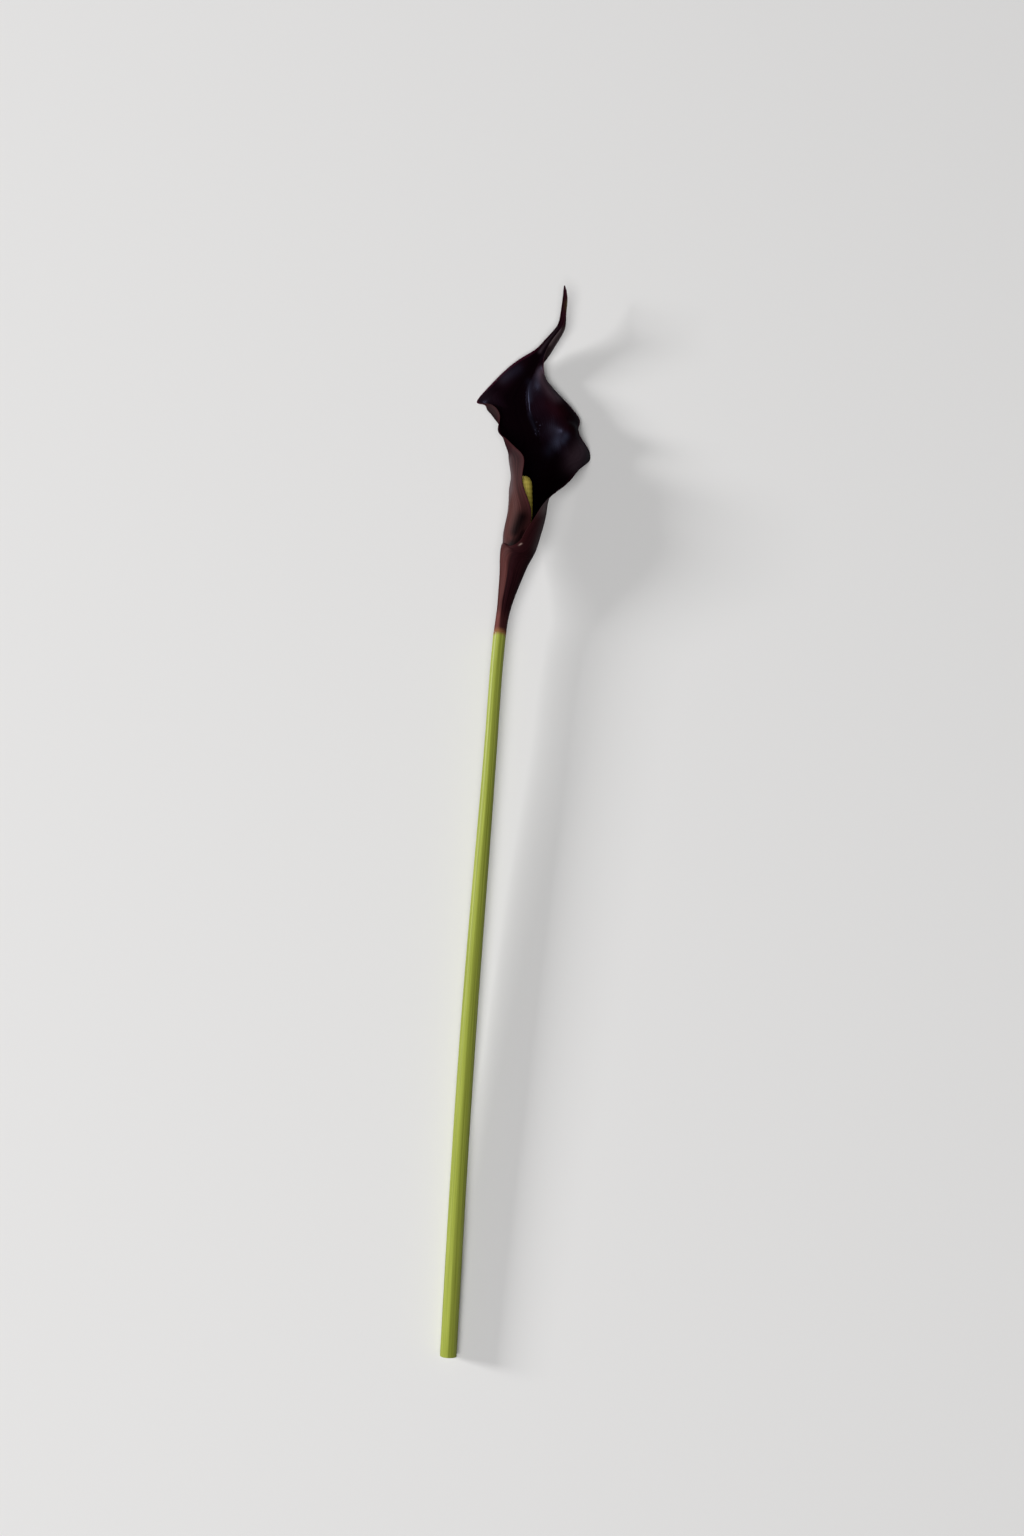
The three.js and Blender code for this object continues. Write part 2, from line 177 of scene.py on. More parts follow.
spatheForm = {
    "rows": 300,              # cells along
    "columns": 148,           # cells across
    "thickMidrib": 0.95,      # mm
    "thickMargin": 0.42,
    "thickFoot": 0.66,        # where it sits flush on the stem
    "footLength": 8,          # mm along
    "marginTaper": 7.0,       # mm over which the sheet thins towards its margins
    "layerStep": 1.35,        # how far the left flap lies inside the right one
    "layerReach": (20, 80),   # degrees round the tube over which it is drawn in
    "layerStart": (4, 12),    # mm along over which that begins
    # where the right flap leaves it free, above the collar, it springs out again
    "springsAt": [30, 40, 43.8, 46.8, 50, 54, 57],
    "springs": [0, 0.25, 0.56, 0.86, 0.74, 0.16, 0],
    "endStandsOff": 0.25,     # mm, the right flap's own end
    "ribEvenness": 0.8,       # 1 gives the ribs knots by their distance, and 0 evenly
    "veinPitch": 1.5,         # mm between the raised veins where the sheet is widest
    "veinHeight": 0.035,
    "grooveDepth": 0.3,       # down the midrib's inner face
    "grooveWidth": 1.2,
    "grooveAt": -0.9,         # mm right of the midrib
    "swellHeight": 1.7,       # the right wall swells up beside the midrib
    "swellAt": 2.2,           # mm right of the midrib
    "swellSides": (2.1, 7.5),  # its width towards the midrib and towards the margin
    "swellStart": (0.51, 0.58),  # shares of the rows
    "swellEnd": (0.68, 0.8),
    "footLean": (0.022, 0.041),  # turns the foot square to the stem, mm along for each mm away
    "neckHeight": 13,         # mm from the table to the tube's middle at the neck
    "tubeRise": 0.045,        # mm up for each mm along
    "rimPoints": 5,           # on each rounded margin
}

# The tube: [sideways, along, radius] of its middle.
tubeLine = np.array([
    [0.24, -0.1, 3.2], [1.1, 7, 3.2], [2.2, 13, 3.5], [3.6, 20, 4.4], [6.5, 32.5, 6.45],
    [9.15, 43, 8.6], [11.1, 48.7, 9.4], [11.7, 53.5, 10.25], [13.3, 60.2, 10.65],
    [14.9, 68.2, 10.9], [16.6, 77, 11.4],
])

# The rolled ribs: where each leaves the back of the tube, how far it climbs to its right margin,
# and how many degrees its left and right margins reach round the tube.
rolledRibs = np.array([
    [-0.1, 0, 64, 288], [7, 0.4, 62, 288], [13, 1, 60, 288], [19, 2, 95, 288],
    [29.5, 3.5, 130, 285], [36, 5.5, 155, 279], [38, 6, 162, 268], [39.2, 6.1, 166, 250],
    [40, 4.8, 169, 230], [40.9, 3.9, 172, 210], [42, 4.4, 177, 192], [43.8, 5.5, 184, 178],
    [46.8, 6.1, 192, 169], [53.5, 5.9, 203, 157], [58.5, 5, 203, 147], [64.5, 3.5, 199, 136],
])

# The open limb: seven points a rib, from the left margin over the midrib to the right.
limbRibs = np.array([
    [[13.2, 77.6, 26.3], [6.3, 77.5, 19.8], [7.6, 77.8, 10.2], [17.3, 77.8, 5.1],
     [24.3, 77.3, 7.6], [27.6, 76.3, 13], [29.4, 75.1, 18.6]],
    [[12.4, 85.1, 26.8], [7, 84.9, 19.5], [9.4, 85.6, 9.2], [19.3, 86.1, 4.7],
     [28.1, 85, 8], [33.5, 83.2, 13.2], [37.7, 81.9, 16]],
    [[13.3, 93.1, 26.3], [5.8, 93, 18.5], [9.9, 94, 8.2], [21, 94.4, 4.3],
     [31.4, 92.9, 9], [38.8, 91, 12.3], [43.6, 89.3, 11.5]],
    [[8.7, 100, 23], [4.9, 99, 16], [10.7, 99.6, 7.4], [21.8, 100, 4.1],
     [33, 99.4, 9.6], [42.4, 97.8, 10.5], [50, 96.6, 0.4]],
    [[2.9, 106, 18], [3.1, 104.7, 13], [10.5, 104.7, 7.2], [21.8, 105.6, 3.9],
     [32.4, 105.6, 9.6], [40.8, 104.5, 10.3], [48.1, 103.2, 3.5]],
    [[-0.8, 111.4, 14], [2, 110.8, 11.2], [9.4, 110.4, 6.9], [20.4, 111.1, 3.6],
     [30.6, 111.6, 10], [36.6, 111.2, 12.6], [43, 111.3, 8.4]],
    [[0.1, 118.6, 13.5], [-1.8, 116.9, 10], [6.6, 116.2, 7], [17.7, 117, 3.3],
     [28.4, 118, 9.2], [36.9, 117.2, 10.6], [44.3, 116.9, 4]],
    [[-3.6, 124.8, 10], [-5.4, 121.9, 7.6], [4.9, 121, 6.8], [16, 122, 3.1],
     [25.9, 123.2, 8], [33, 123.2, 9.5], [40.6, 123.1, 4.4]],
    [[-8.1, 126.4, 5.8], [-7.2, 124.9, 5.4], [4.2, 124.1, 6.6], [15.6, 125, 2.9],
     [24.8, 126.5, 7.5], [31.4, 126.4, 9.2], [37.6, 126.5, 5]],
    [[-12.5, 128.1, 0.4], [-5.6, 129.4, 5.3], [4, 128.4, 6.3], [15.2, 128.4, 2.7],
     [23.6, 130, 7], [29.6, 130.2, 8.9], [34.5, 129.6, 5.4]],
    [[-7.4, 134.7, 2.2], [-2.5, 134, 4.9], [5.6, 133.1, 5.5], [15.1, 134, 2.5],
     [21.8, 135.5, 6], [26, 135.7, 8], [29, 135.4, 6]],
    [[1.4, 143.5, 3.5], [4.8, 141.5, 5], [9.9, 139.8, 4.8], [16.6, 140.1, 2.4],
     [20.7, 141.3, 5], [23.5, 141.5, 7.2], [25.3, 140.6, 6.5]],
    [[11.1, 151.2, 4.8], [13.1, 149.4, 5.2], [16.1, 147.1, 4.5], [19.2, 146.7, 2.6],
     [21.4, 147.1, 4.6], [23.5, 147.3, 7], [24.2, 146, 8.5]],
    [[20, 156.4, 6.5], [20.8, 155.7, 5.5], [22.2, 154.2, 4.2], [23.6, 153.2, 3.8],
     [25.6, 152.3, 5.5], [26.6, 152.1, 8.5], [24.9, 152.6, 10.5]],
    [[26, 162.1, 9.5], [26.5, 161.4, 7.5], [27.7, 160.2, 6.2], [29.3, 160, 6.2],
     [31.1, 160, 7.5], [32, 160.7, 10], [29.5, 161.1, 12.2]],
    [[32.1, 169, 11.5], [31.8, 168.3, 10], [32.3, 167.5, 9], [33.5, 166.9, 8.8],
     [34.9, 167, 10], [35.9, 167.5, 12], [34.7, 168, 13.5]],
])

# The tail's ribs: [sideways, along, height, radius, reach in degrees, lean in degrees].
tailRibs = np.array([
    [35.2, 176, 12.2, 1.4, 110, 8], [36, 183.5, 13.2, 1.2, 80, -3],
    [35.7, 190.3, 13.6, 0.25, 60, -10],
])

# Forms raised on the sheet: (line of places, width, height), height towards its inner face.
reliefs = [
    # the pucker on the right wall, and a short crease beside the midrib
    ([[29, 118.5, 9.5], [38, 117.5, 11]], 4.5, -0.8),
    ([[38.8, 111.6, 11.8], [37.2, 106.4, 11.3]], 4.4, 1.3),
    ([[38.8, 110, 11.6], [35.8, 102, 10.7]], 4.8, 0.9),
    ([[20.5, 111.2, 4], [24, 109, 5]], 0.9, -0.15),
    # a shallow filling of the valley under them
    ([[21.8, 104, 4.4], [21.4, 95, 4.4]], 5.5, 1.2),
    # the keel down the tube's front, and the fold that ends the collar
    ([[4.5, 36, 22.2], [3.6, 28, 20.6], [1.4, 17, 17.8], [0, 7, 16.4]], 0.7, -0.45),
    ([[5.2, 34.8, 21.8], [7.2, 32, 21.2], [9.8, 31.3, 20.6], [12.4, 32.6, 19.6]], 0.7, -0.2),
]
# The keel's way up the tube's front: how far along, and how far sideways.
keelSide = ([4, 7.4, 17, 28, 39, 47], [0.1, 0.7, 1.6, 3.7, 5.6, 7.6])

# Marks on the skins are (line of places, reach, strength), as painted reads them.
# Where the left flap is darkest: dense pigment, with painted shade under the collar and its own
# wrap.
darkPigmentAndShadeMarks = [
    ([[5.4, 46.6, 22], [8.6, 47.6, 23.8], [11, 50.2, 24.6], [12.6, 53.2, 25.4]], 3.1, 1.0),
    ([[2.6, 46.4, 20], [5.4, 46.6, 22]], 1.6, 0.7),
    ([[9, 54, 23.6], [12.4, 62, 25.4]], 3.6, 1.0),
    ([[-6, 124, 8.5], [-3, 120, 10]], 4.0, 0.6),
]
# A slate grey sheen painted on the outer skin: under the mouth's right side, down the left flap and
# on the tail.
slateSheenMarks = [
    ([[25.2, 73, 18], [24.8, 68, 20]], 5.5, 1.0),
    ([[24.6, 68, 18], [22.4, 57, 18], [19.8, 47, 17]], 3.8, 0.65),
    ([[1.7, 49, 15], [2.6, 60, 15.6], [4.2, 71, 17], [6.3, 77.5, 19.8], [7, 84.9, 19.5],
      [5.8, 93, 18.5]], 2.8, 0.8),
    ([[27, 152.4, 8], [32, 160.6, 9.5], [36, 167.4, 12]], 1.2, 0.8),
    ([[28, 158.4, 11.9], [30, 161.6, 12.5], [33, 166, 13.2]], 1.3, 0.7),
]
# A painted highlight on the right flap's lip, where it tucks into the collar, and a faint one a
# little below it.
lipHighlightMarks = [
    ([[10.9, 46.8, 24.2], [12, 47.5, 24.6]], 0.36, 0.6),
    ([[13, 41.2, 24], [13.3, 41.3, 24]], 0.4, 0.12),
]
# A grey sheen painted on the inner skin: along the upper right margin, on both lobes and up the
# tail.
greySheenMarks = [
    ([[24, 143, 6.6], [25.8, 138.4, 6.8], [29, 133.2, 8], [32.2, 130, 8.8]], 3.0, 0.95),
    ([[4.5, 142.5, 4.5], [1.5, 139.5, 5]], 3.2, 0.1),
    ([[-8, 129.5, 3.5], [-4, 129, 6]], 4.5, 0.05),
    ([[46.5, 101, 8], [42, 92, 12]], 6.0, 1.0),
    ([[22.2, 155.4, 5], [26.4, 161.5, 7.6], [31.9, 168, 10.4]], 1.0, 0.8),
]
# Bluish highlights painted on the inner skin: round the pucker and under it, high on the left, and
# down the midrib.
bluishHighlightMarks = [
    ([[33.5, 107.4, 12], [27, 100, 8.5]], 3.2, 0.36),
    ([[10, 145.5, 4.6], [3, 141, 5]], 3.0, 0.26),
    ([[16.8, 121, 4.2], [18.8, 116, 4.4], [21, 111, 4.6]], 1.2, 0.5),
    ([[16.2, 139, 4], [16.4, 134, 4.8], [16.4, 128.6, 5.2]], 1.8, 0.32),
    ([[36.4, 107.4, 14.2], [34.8, 105.2, 13]], 2.2, 0.6),
]
# Where the bloom on it is dull: all over the fold under the pucker, but not on the pucker's tip.
dullMarks = [
    ([[30.5, 114, 11], [27, 100, 8]], 8.0, 1.0),
    ([[21.7, 139.2, 7.1], [23, 142.8, 7.4]], 3.2, 1.0),
]
glossMarks = [([[34.2, 109, 12.4], [32.6, 107.6, 11.8]], 2.2, 1.0)]
# Fallen pollen beside the midrib.
pollenMarks = [([[21.2, 111.4, 4.4], [22.4, 116.4, 5]], 1.7, 1.0)]
# The olive tinge below the tail's tip.
oliveMarks = [([[36.8, 178, 13], [37.2, 181, 13]], 1.6, 0.6)]
# Where wine red shows through the inner skin.
wineMarks = [
    ([[29, 128, 9], [36, 121, 11], [41, 113, 9]], 7.0, 1.0),
    ([[12, 147, 5], [5, 141, 5]], 5.0, 0.25),
    ([[44, 104, 8], [40, 90, 13]], 5.0, 0.7),
]


def tubeHeight(along):
    # The tube's middle over the table: neck height + rise x along.
    return spatheForm["neckHeight"] + spatheForm["tubeRise"] * along


def roundRibs(middle, sideways, out, angle):
    # middle + out (sideways sin(angle) - up cos(angle)): a ring with angle 0 at its back.
    up = np.array([0, 0, 1.0])
    return middle + out[..., None] * (sideways * np.sin(angle)[..., None]
                                      - up * np.cos(angle)[..., None])


def spatheRibs():
    # All the ribs, thirteen points each, at steps from -1 at the left margin to 1 at the right.
    form = spatheForm
    step = np.linspace(-1, 1, 13)
    at, climb, left, right = [rolledRibs[:, k, None] for k in range(4)]
    angle = np.radians(step * np.where(step < 0, left, right))
    along = at + climb * np.maximum(0, step) ** 2

    def tubeAt(places):
        flat = naturalSpline(tubeLine[:, 1], tubeLine[:, [0, 2]], places.ravel())
        return flat.reshape(places.shape + (2,))

    side, radius = np.moveaxis(tubeAt(along), -1, 0)
    turn = tubeAt(along - 1)[..., 0] - side
    middle = np.stack([side, along, tubeHeight(along)], axis=-1)
    sideways = unit(np.stack([np.ones_like(turn), turn, np.zeros_like(turn)], axis=-1))
    leftward = -np.degrees(angle)
    drawnIn = smoothStep(leftward, *form["layerReach"]) * smoothStep(at, *form["layerStart"])
    springs = np.interp(at, form["springsAt"], form["springs"])
    drawnIn *= 1 - springs * (1 - smoothStep(leftward, 85, 130))
    standsOff = smoothStep(np.degrees(angle), 190, 250) * smoothStep(at, 24, 38)
    radius = radius + form["endStandsOff"] * standsOff - form["layerStep"] * drawnIn
    rolled = roundRibs(middle, sideways, radius, angle)

    knots = knotsFrom(np.linalg.norm(np.diff(limbRibs, axis=1), axis=-1))
    halfway = (knots[:, 1:] + knots[:, :-1]) / 2
    places = np.sort(np.concatenate([knots, halfway], axis=1), axis=1)
    limb = naturalSpline(knots, limbRibs, places)

    lean = np.radians(tailRibs[:, 5])[:, None]
    sideways = np.stack([np.cos(lean), -np.sin(lean), 0 * lean], axis=-1)
    angle = np.radians(step * tailRibs[:, 4, None])
    radius = np.broadcast_to(tailRibs[:, 3, None], angle.shape)
    tail = roundRibs(tailRibs[:, None, :3], sideways, radius, angle)
    return np.concatenate([rolled, limb, tail])


def spatheSheet():
    # The middle of the sheet as rows along and columns across. Lengthwise splines run through the
    # ribs' points, and a spline across them makes each row.
    ribs = spatheRibs()
    ribPoints = ribs.shape[1]
    apart = np.linalg.norm(np.diff(ribs, axis=0), axis=-1).max(axis=1)
    knots = knotsFrom(apart ** spatheForm["ribEvenness"])
    rowAt = np.linspace(0, 1, spatheForm["rows"] + 1)
    lines = naturalSpline(knots, ribs.reshape(len(ribs), -1), rowAt).reshape(-1, ribPoints, 3)
    across = knotsFrom(np.linalg.norm(np.diff(lines, axis=1), axis=-1))
    columnAt = np.broadcast_to(np.linspace(0, 1, spatheForm["columns"] + 1),
                               (len(rowAt), spatheForm["columns"] + 1))
    points = naturalSpline(across, lines, columnAt)
    return points, columnAt, across[:, ribPoints // 2, None]


def sheetNormals(points):
    # The cross product of the ways along and across, which points out of the sheet's back.
    across = np.gradient(points, axis=1)
    along = np.gradient(points, axis=0)
    return unit(np.cross(along, across))


def lineDistance(points, places):
    # How far each point is from the nearest stretch of the line through some places.
    nearest = np.full(points.shape[:-1], 1e9)
    for start, end in zip(np.array(places[:-1]), np.array(places[1:])):
        line = end - start
        share = np.clip(((points - start) @ line) / (line @ line), 0, 1)
        away = np.linalg.norm(points - start - share[..., None] * line, axis=-1)
        nearest = np.minimum(nearest, away)
    return nearest


def painted(points, marks):
    # The strongest mark at each point: strength exp(-(distance / reach)^2).
    return np.max([strength * bell(lineDistance(points, places), reach)
                   for places, reach, strength in marks], axis=0)


def neckGreen(points):
    # 0 where the neck is maroon and 1 where it is green. The border, 0.3 - 0.15 x - 0.11 x^2 mm
    # along, is an arch that hangs lower on the right, and it fades over 9.5 mm.
    border = 0.3 - 0.15 * points[..., 0] - 0.11 * points[..., 0] ** 2
    return smoothStep(border - points[..., 1], -4.5, 5)


def raisedForms(points, vein, rowAt, fromMidrib, fromMargin, width):
    # How far the sheet is raised towards its inner face: height exp(-(distance / reach)^2) for each
    # relief, a swell less a groove beside the midrib, and height cos(2 pi n vein) for the veins.
    form = spatheForm
    lift = np.zeros(vein.shape)
    for places, reach, height in reliefs:
        lift += height * bell(lineDistance(points, places), reach)
    groove = form["grooveDepth"] * bell(fromMidrib - form["grooveAt"], form["grooveWidth"])
    fromSwell = fromMidrib - form["swellAt"]
    swell = form["swellHeight"] * bell(fromSwell, np.where(fromSwell < 0, *form["swellSides"]))
    lift += ((swell - groove) * smoothStep(rowAt, *form["swellStart"])
             * (1 - smoothStep(rowAt, *form["swellEnd"])))
    veinCount = round(width.max() / form["veinPitch"])
    rising = smoothStep(fromMargin, 0.5, 3) * smoothStep(width, 8, 24)
    rising *= smoothStep(np.abs(fromMidrib), 2, 6)
    return lift + form["veinHeight"] * np.cos(2 * np.pi * veinCount * vein) * rising


def sheetThickness(points, fromMargin, width):
    # From the margins' thickness to the midrib's by 3 x^2 - 2 x^3, but at most 0.18 width + 0.12 in
    # the slim tail, and even at the foot.
    form = spatheForm
    full = smoothStep(fromMargin, 0, form["marginTaper"])
    thick = form["thickMargin"] + (form["thickMidrib"] - form["thickMargin"]) * full
    thick = np.minimum(thick, 0.18 * width + 0.12)
    pastFoot = smoothStep(points[..., 1], 0, form["footLength"])
    return form["thickFoot"] + (thick - form["thickFoot"]) * pastFoot


def sheetFaces(rows, across):
    # The faces of a sheet of closed loops, and 1 for each face of its inner skin. A loop has across
    # points of the outer skin, a right rim, the inner skin back to the left, and a left rim.
    rim = spatheForm["rimPoints"]
    columns = 2 * (across + rim)
    last = (rows - 1) * columns
    quads = ringQuads(rows, columns)[:, ::-1]
    side = np.arange(columns)
    isInner = (side >= across + rim // 2) & (side < 2 * across + rim + rim // 2)
    slots = np.tile(isInner.astype(int), rows - 1)

    # The ends: a strip from each outer point to the inner point under it.
    outerRow = np.arange(across)
    innerRow = 2 * across + rim - 1 - outerRow
    foot = np.stack([outerRow[:-1], outerRow[1:], innerRow[1:], innerRow[:-1]], axis=1)

    # The rims' own ends: triangles from the outer skin's corner to the bulge.
    right = np.arange(across - 1, across + rim + 1)
    left = np.append(np.arange(2 * across + rim - 1, columns), 0)
    fan = np.array([[ring[0], ring[k], ring[k + 1], ring[k + 1]]
                    for ring in (right, left) for k in range(1, rim + 1)])
    ends = np.concatenate([foot, foot[:, ::-1] + last, fan, fan[:, [1, 0, 2, 2]] + last])
    return np.concatenate([quads, ends]), np.concatenate([slots, np.zeros(len(ends))])


def skinMaps(places, vein, rowAt, fromMargin):
    # Where each colour, bloom, painted sheen, painted shade and painted highlight lies on the two
    # skins, from 0 to 1 at each point, by steps and bells of the place, the vein, the row and the
    # distance from the margin.

    # Brown bloom over the left flap, also painted light that makes its lit side paler; thinner at
    # its margin, low down and up the limb.
    brownAndLitFlap = (1 - smoothStep(vein, 0.3, 0.45)) * (1 - smoothStep(rowAt, 0.37, 0.51))
    brownAndLitFlap *= 0.64 + 0.36 * smoothStep(rowAt, 0.24, 0.4)
    brownAndLitFlap *= 0.4 + 0.6 * smoothStep(vein, 0.04, 0.17)
    # A rosy band on the tube's front, between the keel and the right flap's margin, partly painted
    # light on the keel's lit side.
    keelAt = np.interp(places[:, 1], *keelSide)
    soft = 0.3 + 2.4 * smoothStep(places[:, 1], 30, 40)
    rosyAndLitBand = smoothStep(keelAt - places[:, 0], -0.4 * soft, soft) * (vein > 0.6)
    rosyAndLitBand *= 1 - smoothStep(rowAt, 0.15, 0.23)
    rosyAndLitBand = np.maximum(rosyAndLitBand * (1 - 0.5 * smoothStep(places[:, 1], 8, 14)),
                      0.22 * (1 - smoothStep(places[:, 1], 5, 14)))
    isLeft = 1 - smoothStep(vein, 0.3, 0.5)
    return {
        "fromMargin": fromMargin,
        # brown bloom, partly painted light on the lit left flap
        "brownAndLitSide": brownAndLitFlap,
        # rosy tone, partly painted light left of the keel
        "rosyAndLit": rosyAndLitBand,
        # the tail's fold is greyer, and above it no margin is flushed
        "fold": smoothStep(rowAt, 0.81, 0.85) * (1 - smoothStep(rowAt, 0.9, 0.93)),
        "flushed": 0.4 * (1 - smoothStep(fromMargin, 0.2, 4)) * (1 - smoothStep(rowAt, 0.78, 0.84)),
        # dense pigment, and painted shade under the collar and the flap's wrap
        "darkPigmentAndShade": painted(places, darkPigmentAndShadeMarks) * isLeft,
        # painted highlights on the right flap's lip
        "lipHighlight": painted(places, lipHighlightMarks) * (1 - isLeft),
        # painted grey sheen on the outer skin
        "slateSheen": painted(places, slateSheenMarks),
        # painted grey sheen on the inner skin
        "greySheen": painted(places, greySheenMarks),
        # painted bluish highlights on the inner skin
        "bluishHighlight": painted(places, bluishHighlightMarks),
        "dull": painted(places, dullMarks) * (1 - painted(places, glossMarks)),
        "wine": painted(places, wineMarks),
        "pollen": painted(places, pollenMarks),
        "olive": painted(places, oliveMarks),
        "green": neckGreen(places),
        "way": rowAt,
    }


def makeSpathe():
    # Outer skin, right rim, inner skin and left rim make one closed loop across, carried along the
    # rows: the sheet's middle plus and minus half its thickness along its normals.
    form = spatheForm
    points, columnAt, midrib = spatheSheet()
    sideLean, heightLean = form["footLean"]
    leaning = (sideLean * (points[..., 0] - tubeLine[0, 0])
               + heightLean * (points[..., 2] - form["neckHeight"]))
    points[..., 1] -= leaning * (1 - smoothStep(points[..., 1], 0, form["footLength"]))
    cell = np.linalg.norm(np.diff(points, axis=1), axis=-1)
    fromLeft = np.concatenate([np.zeros((len(points), 1)), np.cumsum(cell, axis=1)], axis=1)
    width = fromLeft[:, -1:]
    fromMargin = np.minimum(fromLeft, width - fromLeft)
    # the veins' coordinate: 0 and 1 at the margins, 0.5 at the midrib
    leftShare = 0.5 * columnAt / midrib
    rightShare = 0.5 + 0.5 * (columnAt - midrib) / (1 - midrib)
    vein = np.where(columnAt < midrib, leftShare, rightShare)
    rowAt = np.broadcast_to(np.linspace(0, 1, len(points))[:, None], vein.shape)

    lift = raisedForms(points, vein, rowAt, fromLeft - midrib * width, fromMargin, width)
    points = points - sheetNormals(points) * lift[..., None]
    thick = sheetThickness(points, fromMargin, width)
    half = sheetNormals(points) * thick[..., None] / 2

    # Rims bulge half a thickness past the margin: middle + half (cos a normal + sin a outwards).
    rimPoints = form["rimPoints"]
    angle = np.radians(np.linspace(0, 180, rimPoints + 2)[1:-1])[None, :, None]

    def rim(column, beside):
        away = unit(points[:, column] - points[:, beside])[:, None, :]
        middle = points[:, column][:, None, :]
        reach = half[:, column][:, None, :]
        size = np.linalg.norm(reach, axis=-1, keepdims=True)
        return middle + reach * np.cos(angle) + away * size * np.sin(angle)

    loop = np.concatenate([points + half, rim(-1, -2), (points - half)[:, ::-1],
                           rim(0, 1)[:, ::-1]], axis=1)

    def around(values):
        right = np.repeat(values[:, -1:], rimPoints, axis=1)
        left = np.repeat(values[:, :1], rimPoints, axis=1)
        return np.concatenate([values, right, values[:, ::-1], left], axis=1).ravel()

    places = loop.reshape(-1, 3)
    quads, slots = sheetFaces(*vein.shape)
    maps = skinMaps(places, around(vein), around(rowAt), around(fromMargin))
    uv = np.stack([around(vein), around(rowAt)], axis=-1)
    piece = makeMesh("spatheSheet", places, quads, maps, slots, uv)
    piece.data.set_sharp_from_angle(angle=1.1)  # only the foot's edges are that sharp
    return piece


print("spathe: ribs and sheet")
spathe = makeSpathe()
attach(spathe, "root")
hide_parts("spathe")

# The spadix: a finger covered in small florets.

spadixForm = {
    "rows": 300,
    "around": 132,
    "dome": 5.2,              # length of the rounded end
    "floretsAround": 22,
    "floretPitch": 2.5,       # mm between rows of florets
    "floretHeight": 0.075,
    "girthAt": [0, 0.07, 0.16, 0.33, 0.6, 0.85, 1],
    "girth": [1.6, 1.7, 2.3, 3.6, 3.85, 4.2, 4.5],
}
spadixLine = [
    [1.3, 8.2, 13.4], [2.5, 14, 13.6], [4, 20, 13.9], [6.9, 32, 14.5], [9.9, 44, 15.3],
    [12.6, 53.5, 15.9], [13.9, 62, 16.4], [13.9, 72, 16.8], [13.2, 85.4, 17.5],
]


def ringFrames(forward):
    # Two unit vectors square to the way forward: sideways, level with the table, and upward.
    sideways = unit(np.cross(forward, [0, 0, 1.0]))
    return sideways, np.cross(sideways, forward)


def capFans(ringStart, count, pole, outward):
    # Triangles from a ring to the point in its middle.
    ring = ringStart + np.arange(count)
    beside = np.roll(ring, -1)
    middle = np.full(count, pole)
    order = [middle, beside, ring, ring] if outward else [middle, ring, beside, beside]
    return np.stack(order, axis=1)


def cappedRings(rings, around):
    # The faces of closed rings, with a fan at each end. The two fans' middles are the last points.
    return np.concatenate([
        ringQuads(rings, around),
        capFans(0, around, rings * around, True),
        capFans((rings - 1) * around, around, rings * around + 1, False),
    ])


def ringsRound(middle, sideways, upward, out, angle):
    # middle + out (sideways sin(angle) + upward cos(angle)) for each ring.
    return middle[:, None] + out[..., None] * (sideways[:, None] * np.sin(angle)[..., None]
                                               + upward[:, None] * np.cos(angle)[..., None])


def makeSpadix():
    # A turned finger, radius r(v), with florets h cos(n a + p v) cos(n a - p v) raised on it, which
    # is a net of beads that wind both ways, bent along its centreline.
    form = spadixForm
    at = np.linspace(0, 1, form["rows"])
    centre, forward = splineThrough(spadixLine, at)
    length = np.linalg.norm(np.diff(centre, axis=0), axis=1).sum()
    radius = naturalSpline(np.array(form["girthAt"]), np.array(form["girth"])[:, None], at)[:, 0]
    intoDome = np.clip(1 - (1 - at) * length / form["dome"], 0, 1)
    radius = radius * np.sqrt(np.maximum(1 - intoDome ** 2, 0.0004))
    angle = np.linspace(0, 2 * np.pi, form["around"], endpoint=False)[None, :]
    turns = form["floretsAround"] / 2 * angle
    climb = (np.pi * at * length / form["floretPitch"])[:, None]
    beads = np.cos(turns + climb) * np.cos(turns - climb)
    size = smoothStep(radius, 0.4, 3)[:, None]
    out = radius[:, None] + form["floretHeight"] * beads * size
    rings = ringsRound(centre, *ringFrames(forward), out, angle)
    points = np.concatenate([rings.reshape(-1, 3), centre[:1], centre[-1:]])
    quads = cappedRings(form["rows"], form["around"])
    floret = np.append(beads * size, [0, 0])
    # painted light: the side towards the mouth is paler, as if lit
    paintedLitSide = np.append(np.tile(smoothStep(-np.sin(angle[0]), -1, 0.2), form["rows"]), [0.5, 0.5])
    return makeMesh("spadixFinger", points, quads, {"floret": floret, "paintedLitSide": paintedLitSide})


print("spadix: finger and florets")
spadix = makeSpadix()
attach(spadix, "root")
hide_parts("spadix")

# The stem: round, faintly ribbed, with a clean cut end.

stemForm = {
    "rows": 420,
    "around": 96,
    "girthAt": [0, 0.72, 0.9, 1],
    "girth": [4.6, 3.9, 3.45, 3.5],
    "ribs": [(9, 0.045, 0.4), (17, 0.02, 2.1), (31, 0.012, 1.0)],  # number, height, turn
    "cutRings": 10,
    "cutHollow": 0.35,        # mm that the cut's middle is sunk
    "coreLength": 8.19,       # from the shoulder, which meets the spathe's foot
    "coreRadius": 2.2,
}
stemLine = [
    [-28.4, -400, 4.6], [-22.6, -300, 6.5], [-15.8, -200, 8.6], [-8.1, -104, 10.6],
    [-4.3, -55, 11.8], [0.25, 0, 13], [1.2, 8, 13.36],
]


